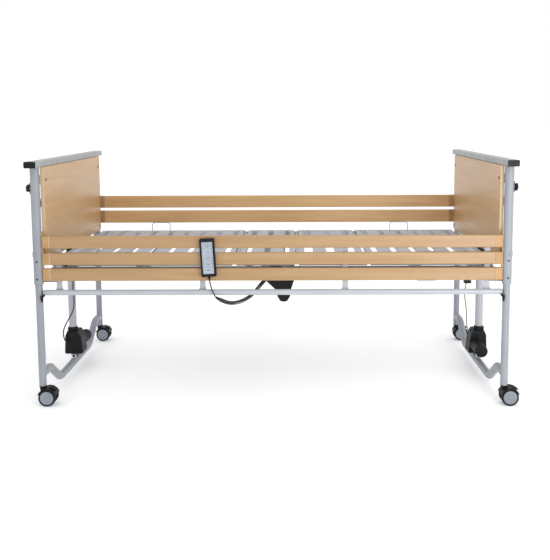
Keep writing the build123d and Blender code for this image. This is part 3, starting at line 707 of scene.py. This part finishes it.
def curl_sleeve():
    """The moulded sleeve where the cord starts to curl."""
    start, ahead = Vector(HANDSET_CURL[0]), Vector(HANDSET_CURL[1])
    along = (ahead - start).normalized()
    sleeve = lathe("curl_sleeve", start - along * 0.010, along, [
        (0, 0.0028, 0), (0, 0.0050, 0), (0.003, 0.0056, 0), (0.014, 0.0062, 0), (0.018, 0.0054, 0),
        (0.018, 0.0028, 0)], ["black_plastic"], 28)
    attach(sleeve, "right_rail")


def plank_seam_shading():
    """Painted shade at the fine joint between each plank and its end piece: a dark painted shadow line at the
    foot end, a pale painted highlight line at the head end.
    """
    for side, spans in (("right", RIGHT_PLANKS), ("left", LEFT_PLANKS)):
        made = []
        for end, s in ENDS.items():
            # painted light: the dark band is a painted shadow at the foot-end joint, the pale band a painted
            # highlight at the head-end joint
            mat = "seam_painted_shadow" if s > 0 else "seam_painted_highlight"
            for low, high in spans:
                middle, half = (low + high) / 2, (high - low) / 2 + 0.0001
                made.append(band(s * PLANK_X, SIDES[side] * LEG_Y, middle, 0.0101, half, 0.0052, 0.0011, mat))
        ship(f"{side}_plank_seam_shading", made, f"{side}_rail")


def band(x, y, z, half_y, half_z, corner, width, mat):
    """A thin closed ring about a plank, lying in a plane across the bed."""
    outline = []
    for quarter, (sy, sz) in enumerate(((1, 1), (-1, 1), (-1, -1), (1, -1))):
        for step in range(7):
            angle = math.pi / 2 * (quarter + step / 6)
            outline.append((sy * (half_y - corner) + corner * math.cos(angle),
                            sz * (half_z - corner) + corner * math.sin(angle)))
    verts, faces = [], []
    count = len(outline)
    for offset in (-width / 2, width / 2):
        for dy, dz in outline:
            verts.append((x + offset, y + dy, z + dz))
    for k in range(count):
        j = (k + 1) % count
        faces.append((k, j, j + count, k + count))
    faces.append(tuple(range(count))[::-1])
    faces.append(tuple(range(count, 2 * count)))
    mesh = bpy.data.meshes.new("band")
    mesh.from_pydata(verts, [], faces)
    mesh.materials.append(MATS[mat])
    return link(bpy.data.objects.new("band", mesh))



# ---------------------------------------------------------------- handset
HANDSET_AT = Vector((-0.279, -0.483, 0.671))
HANDSET_TILT = math.radians(3.07)
KEY_PITCH = 0.026


def handset_frame():
    """Matrix from handset coordinates (right, up, out of the face) to the bed's."""
    right = Vector((math.cos(HANDSET_TILT), 0, math.sin(HANDSET_TILT)))
    out = Vector((0, -1, 0))
    up = out.cross(right)
    turn = Matrix((right, up, out)).transposed().to_4x4()
    return Matrix.Translation(HANDSET_AT) @ turn


def flat_shape(name, outline, low, high, mat):
    """A thin plate with that outline between two depths, in handset coordinates."""
    count = len(outline)
    verts = [(x, y, low) for x, y in outline] + [(x, y, high) for x, y in outline]
    faces = [tuple(range(count))[::-1], tuple(range(count, 2 * count))]
    faces += [(k, (k + 1) % count, (k + 1) % count + count, k + count) for k in range(count)]
    mesh = bpy.data.meshes.new(name)
    mesh.from_pydata(verts, [], faces)
    mesh.materials.append(MATS[mat])
    return link(bpy.data.objects.new(name, mesh))


def bar(x0, y0, x1, y1, width):
    """Outline of a straight stroke from one point to another."""
    along = Vector((x1 - x0, y1 - y0)).normalized()
    across = Vector((-along.y, along.x)) * width / 2
    return [(x0 - across.x, y0 - across.y), (x1 - across.x, y1 - across.y), (x1 + across.x, y1 + across.y),
            (x0 + across.x, y0 + across.y)]


def handset_print():
    """A bed pictogram and two arrows on every key, and a power light above them."""
    matrix = handset_frame()
    ink_low, ink_high = 0.01935, 0.01965
    tilts = [(0.0, 0.0), (0.25, -0.2), (0.0, 0.75), (0.6, 0.6), (0.75, 0.0)]
    for row, (back, knee) in enumerate(tilts):
        centre = (row - 2) * KEY_PITCH
        key = 5 - row
        knee_at = (0.0030, 0.0036 * knee)
        strokes = [
            bar(-0.0010, 0.0005, -0.0010 - 0.0072 * math.cos(back), 0.0005 + 0.0072 * math.sin(back), 0.0018),
            bar(-0.0010, 0.0005, knee_at[0], 0.0005 + knee_at[1], 0.0018),
            bar(knee_at[0], 0.0005 + knee_at[1], 0.0078, 0.0005, 0.0018),
            bar(-0.0082, -0.0030, 0.0082, -0.0030, 0.0011),
            bar(-0.0062, -0.0030, -0.0062, -0.0054, 0.0013),
            bar(0.0062, -0.0030, 0.0062, -0.0054, 0.0013),
            [(-0.0150, 0.0028), (-0.0174, -0.0014), (-0.0126, -0.0014)],
            [(0.0150, -0.0028), (0.0174, 0.0014), (0.0126, 0.0014)],
        ]
        parts = []
        for outline in strokes:
            moved = [(x, y + centre) for x, y in outline]
            parts.append(place(flat_shape("ink", moved, ink_low, ink_high, "print_dark"), matrix))
        ship(f"key_{key}_print", parts, f"key_{key}")
    light = disc("light", (0, 0, 0), (0, 0, 1), 0.0016, 0.0009, "lamp_blue", 0.4, 20)
    place(light, matrix @ Matrix.Translation((0, 0.0655, 0.0181)))
    light.name = "power_light"
    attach(light, "handset")
    ribs = []
    for n in range(5):
        z = -0.0845 - n * 0.0026
        radius = 0.0053 - n * 0.0004
        rib = lathe("rib", (0, 0, 0), (0, -1, 0), [
            (0, radius - 0.0006, 0), (0.0002, radius + 0.0004, 0), (0.0012, radius + 0.0004, 0),
            (0.0014, radius - 0.0006, 0)], ["black_plastic"], 28)
        ribs.append(place(rib, matrix @ Matrix.Translation((0, z, 0.009))))
    ship("handset_gland_ribs", ribs, "handset")


# ---------------------------------------------------------------- lying surface
SECTIONS = (
    ("backrest", -0.980, -0.181, 8), ("bed", -0.159, 0.099, 2),
    ("thigh", 0.121, 0.419, 2), ("calf", 0.441, 0.980, 5),
)


def deck_rivets():
    """Two rivets through each end of every slat."""
    for body, low, high, slats in SECTIONS:
        gap = (high - low - 2 * FRAME_TUBE - slats * SLAT_WIDTH) / (slats + 1)
        made = []
        for n in range(slats):
            x = low + FRAME_TUBE + gap + n * (SLAT_WIDTH + gap)
            for t in (-1, 1):
                for dx in RIVET_STEPS:
                    at = (x + dx, t * RIVET_Y, FRAME_Z[1])
                    made.append(disc("rivet", at, (0, 0, 1), 0.0042, 0.0012, "screw_steel", 0.5, 14))
        ship(f"{body}_rivets", made, body)


def tube_plugs():
    """Black plugs in the open ends of the section frames and the chassis tubes."""
    spans = (
        ("backrest", -0.980, -1, *FRAME_Z), ("backrest", -0.181, 1, *FRAME_Z),
        ("thigh", 0.121, -1, *FRAME_Z), ("thigh", 0.419, 1, *FRAME_Z),
        ("calf", 0.441, -1, *FRAME_Z), ("calf", 0.980, 1, *FRAME_Z),
        ("bed", -0.985, -1, *CHASSIS_Z), ("bed", 0.985, 1, *CHASSIS_Z),
    )
    by_body = {}
    for body, x, way, low, high in spans:
        for t in (-1, 1):
            a = (x - way * 0.004, t * 0.4055, low + 0.0005)
            b = (x + way * 0.0022, t * 0.4295, high - 0.0005)
            by_body.setdefault(body, []).append(box_piece("plug", *ordered(a, b), "black_plastic", 0.0008, 2))
    for body, made in by_body.items():
        ship(f"{body}_plugs", made, body)


def latch_knobs():
    """Five-lobed knobs on bare pins, and two dark tabs on the post behind each."""
    for end, s in ENDS.items():
        for side, t in SIDES.items():
            origin = (s * LATCH_X, t * LEG_Y, LATCH_Z)
            knob = lathe("knob", origin, (s, 0, 0), [
                (0.0042, 0.0, 0), (0.0042, 0.0125, 0), (0.0055, 0.0140, 0), (0.0080, 0.0166, 0),
                (0.0105, 0.0175, 0), (0.0155, 0.0175, 0), (0.0180, 0.0160, 0), (0.0187, 0.0120, 0),
                (0.0187, 0.0070, 0), (0.0179, 0.0062, 0), (0.0179, 0, 0)], ["black_plastic"], 80, 5, 0.09)
            pin_profile = [(0, 0.0, 0), (0.0, 0.0039, 0), (0.0045, 0.0039, 0)]
            pin = lathe("pin", origin, (s, 0, 0), pin_profile, ["rod_steel"], 24)
            made = ship(f"latch_{end}_{side}_knob", [knob, pin], f"latch_{end}_{side}")
            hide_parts(f"latch_{end}_{side}")
            levers = []
            for dz in (-0.018, 0.018):
                a = (s * 1.0508, t * LEG_Y - 0.0035, LATCH_Z + dz - 0.006)
                b = (s * 1.0535, t * LEG_Y + 0.0035, LATCH_Z + dz + 0.006)
                levers.append(box_piece("tab", *ordered(a, b), "slot_dark", 0.0008, 2))
            ship(f"latch_{end}_{side}_tabs", levers, "bed")


# ---------------------------------------------------------------- right rail
def stay_feet():
    """Flares where each upright of the right rail meets the round tube."""
    made = []
    for x in STAY_XS:
        outline = [(-0.019, 0.5155), (0.019, 0.5155), (0.0165, 0.522), (0.0133, 0.530), (0.0121, 0.542),
                   (-0.0121, 0.542), (-0.0133, 0.530), (-0.0165, 0.522)]
        verts = [(x + dx, y, z) for y in (-0.4603, -0.4547) for dx, z in outline]
        count = len(outline)
        faces = [tuple(range(count)), tuple(range(count, 2 * count))[::-1]]
        faces += [((k + 1) % count, k, k + count, (k + 1) % count + count) for k in range(count)]
        mesh = bpy.data.meshes.new("foot")
        mesh.from_pydata(verts, [], faces)
        mesh.materials.append(MATS["tube_paint"])
        made.append(link(bpy.data.objects.new("foot", mesh)))
    ship("stay_feet", made, "right_rail")


MATS = materials()
camera()
studio()
dress_cad()
cords()
for end_name in ENDS:
    for side_name in SIDES:
        castor_wheels(end_name, side_name)
leg_ferrules()
for end_name in ENDS:
    lift_drive_trim(end_name)
post_trim()
post_slot_shade()
curl_sleeve()
plank_seam_shading()
handset_print()
deck_rivets()
tube_plugs()
latch_knobs()
stay_feet()
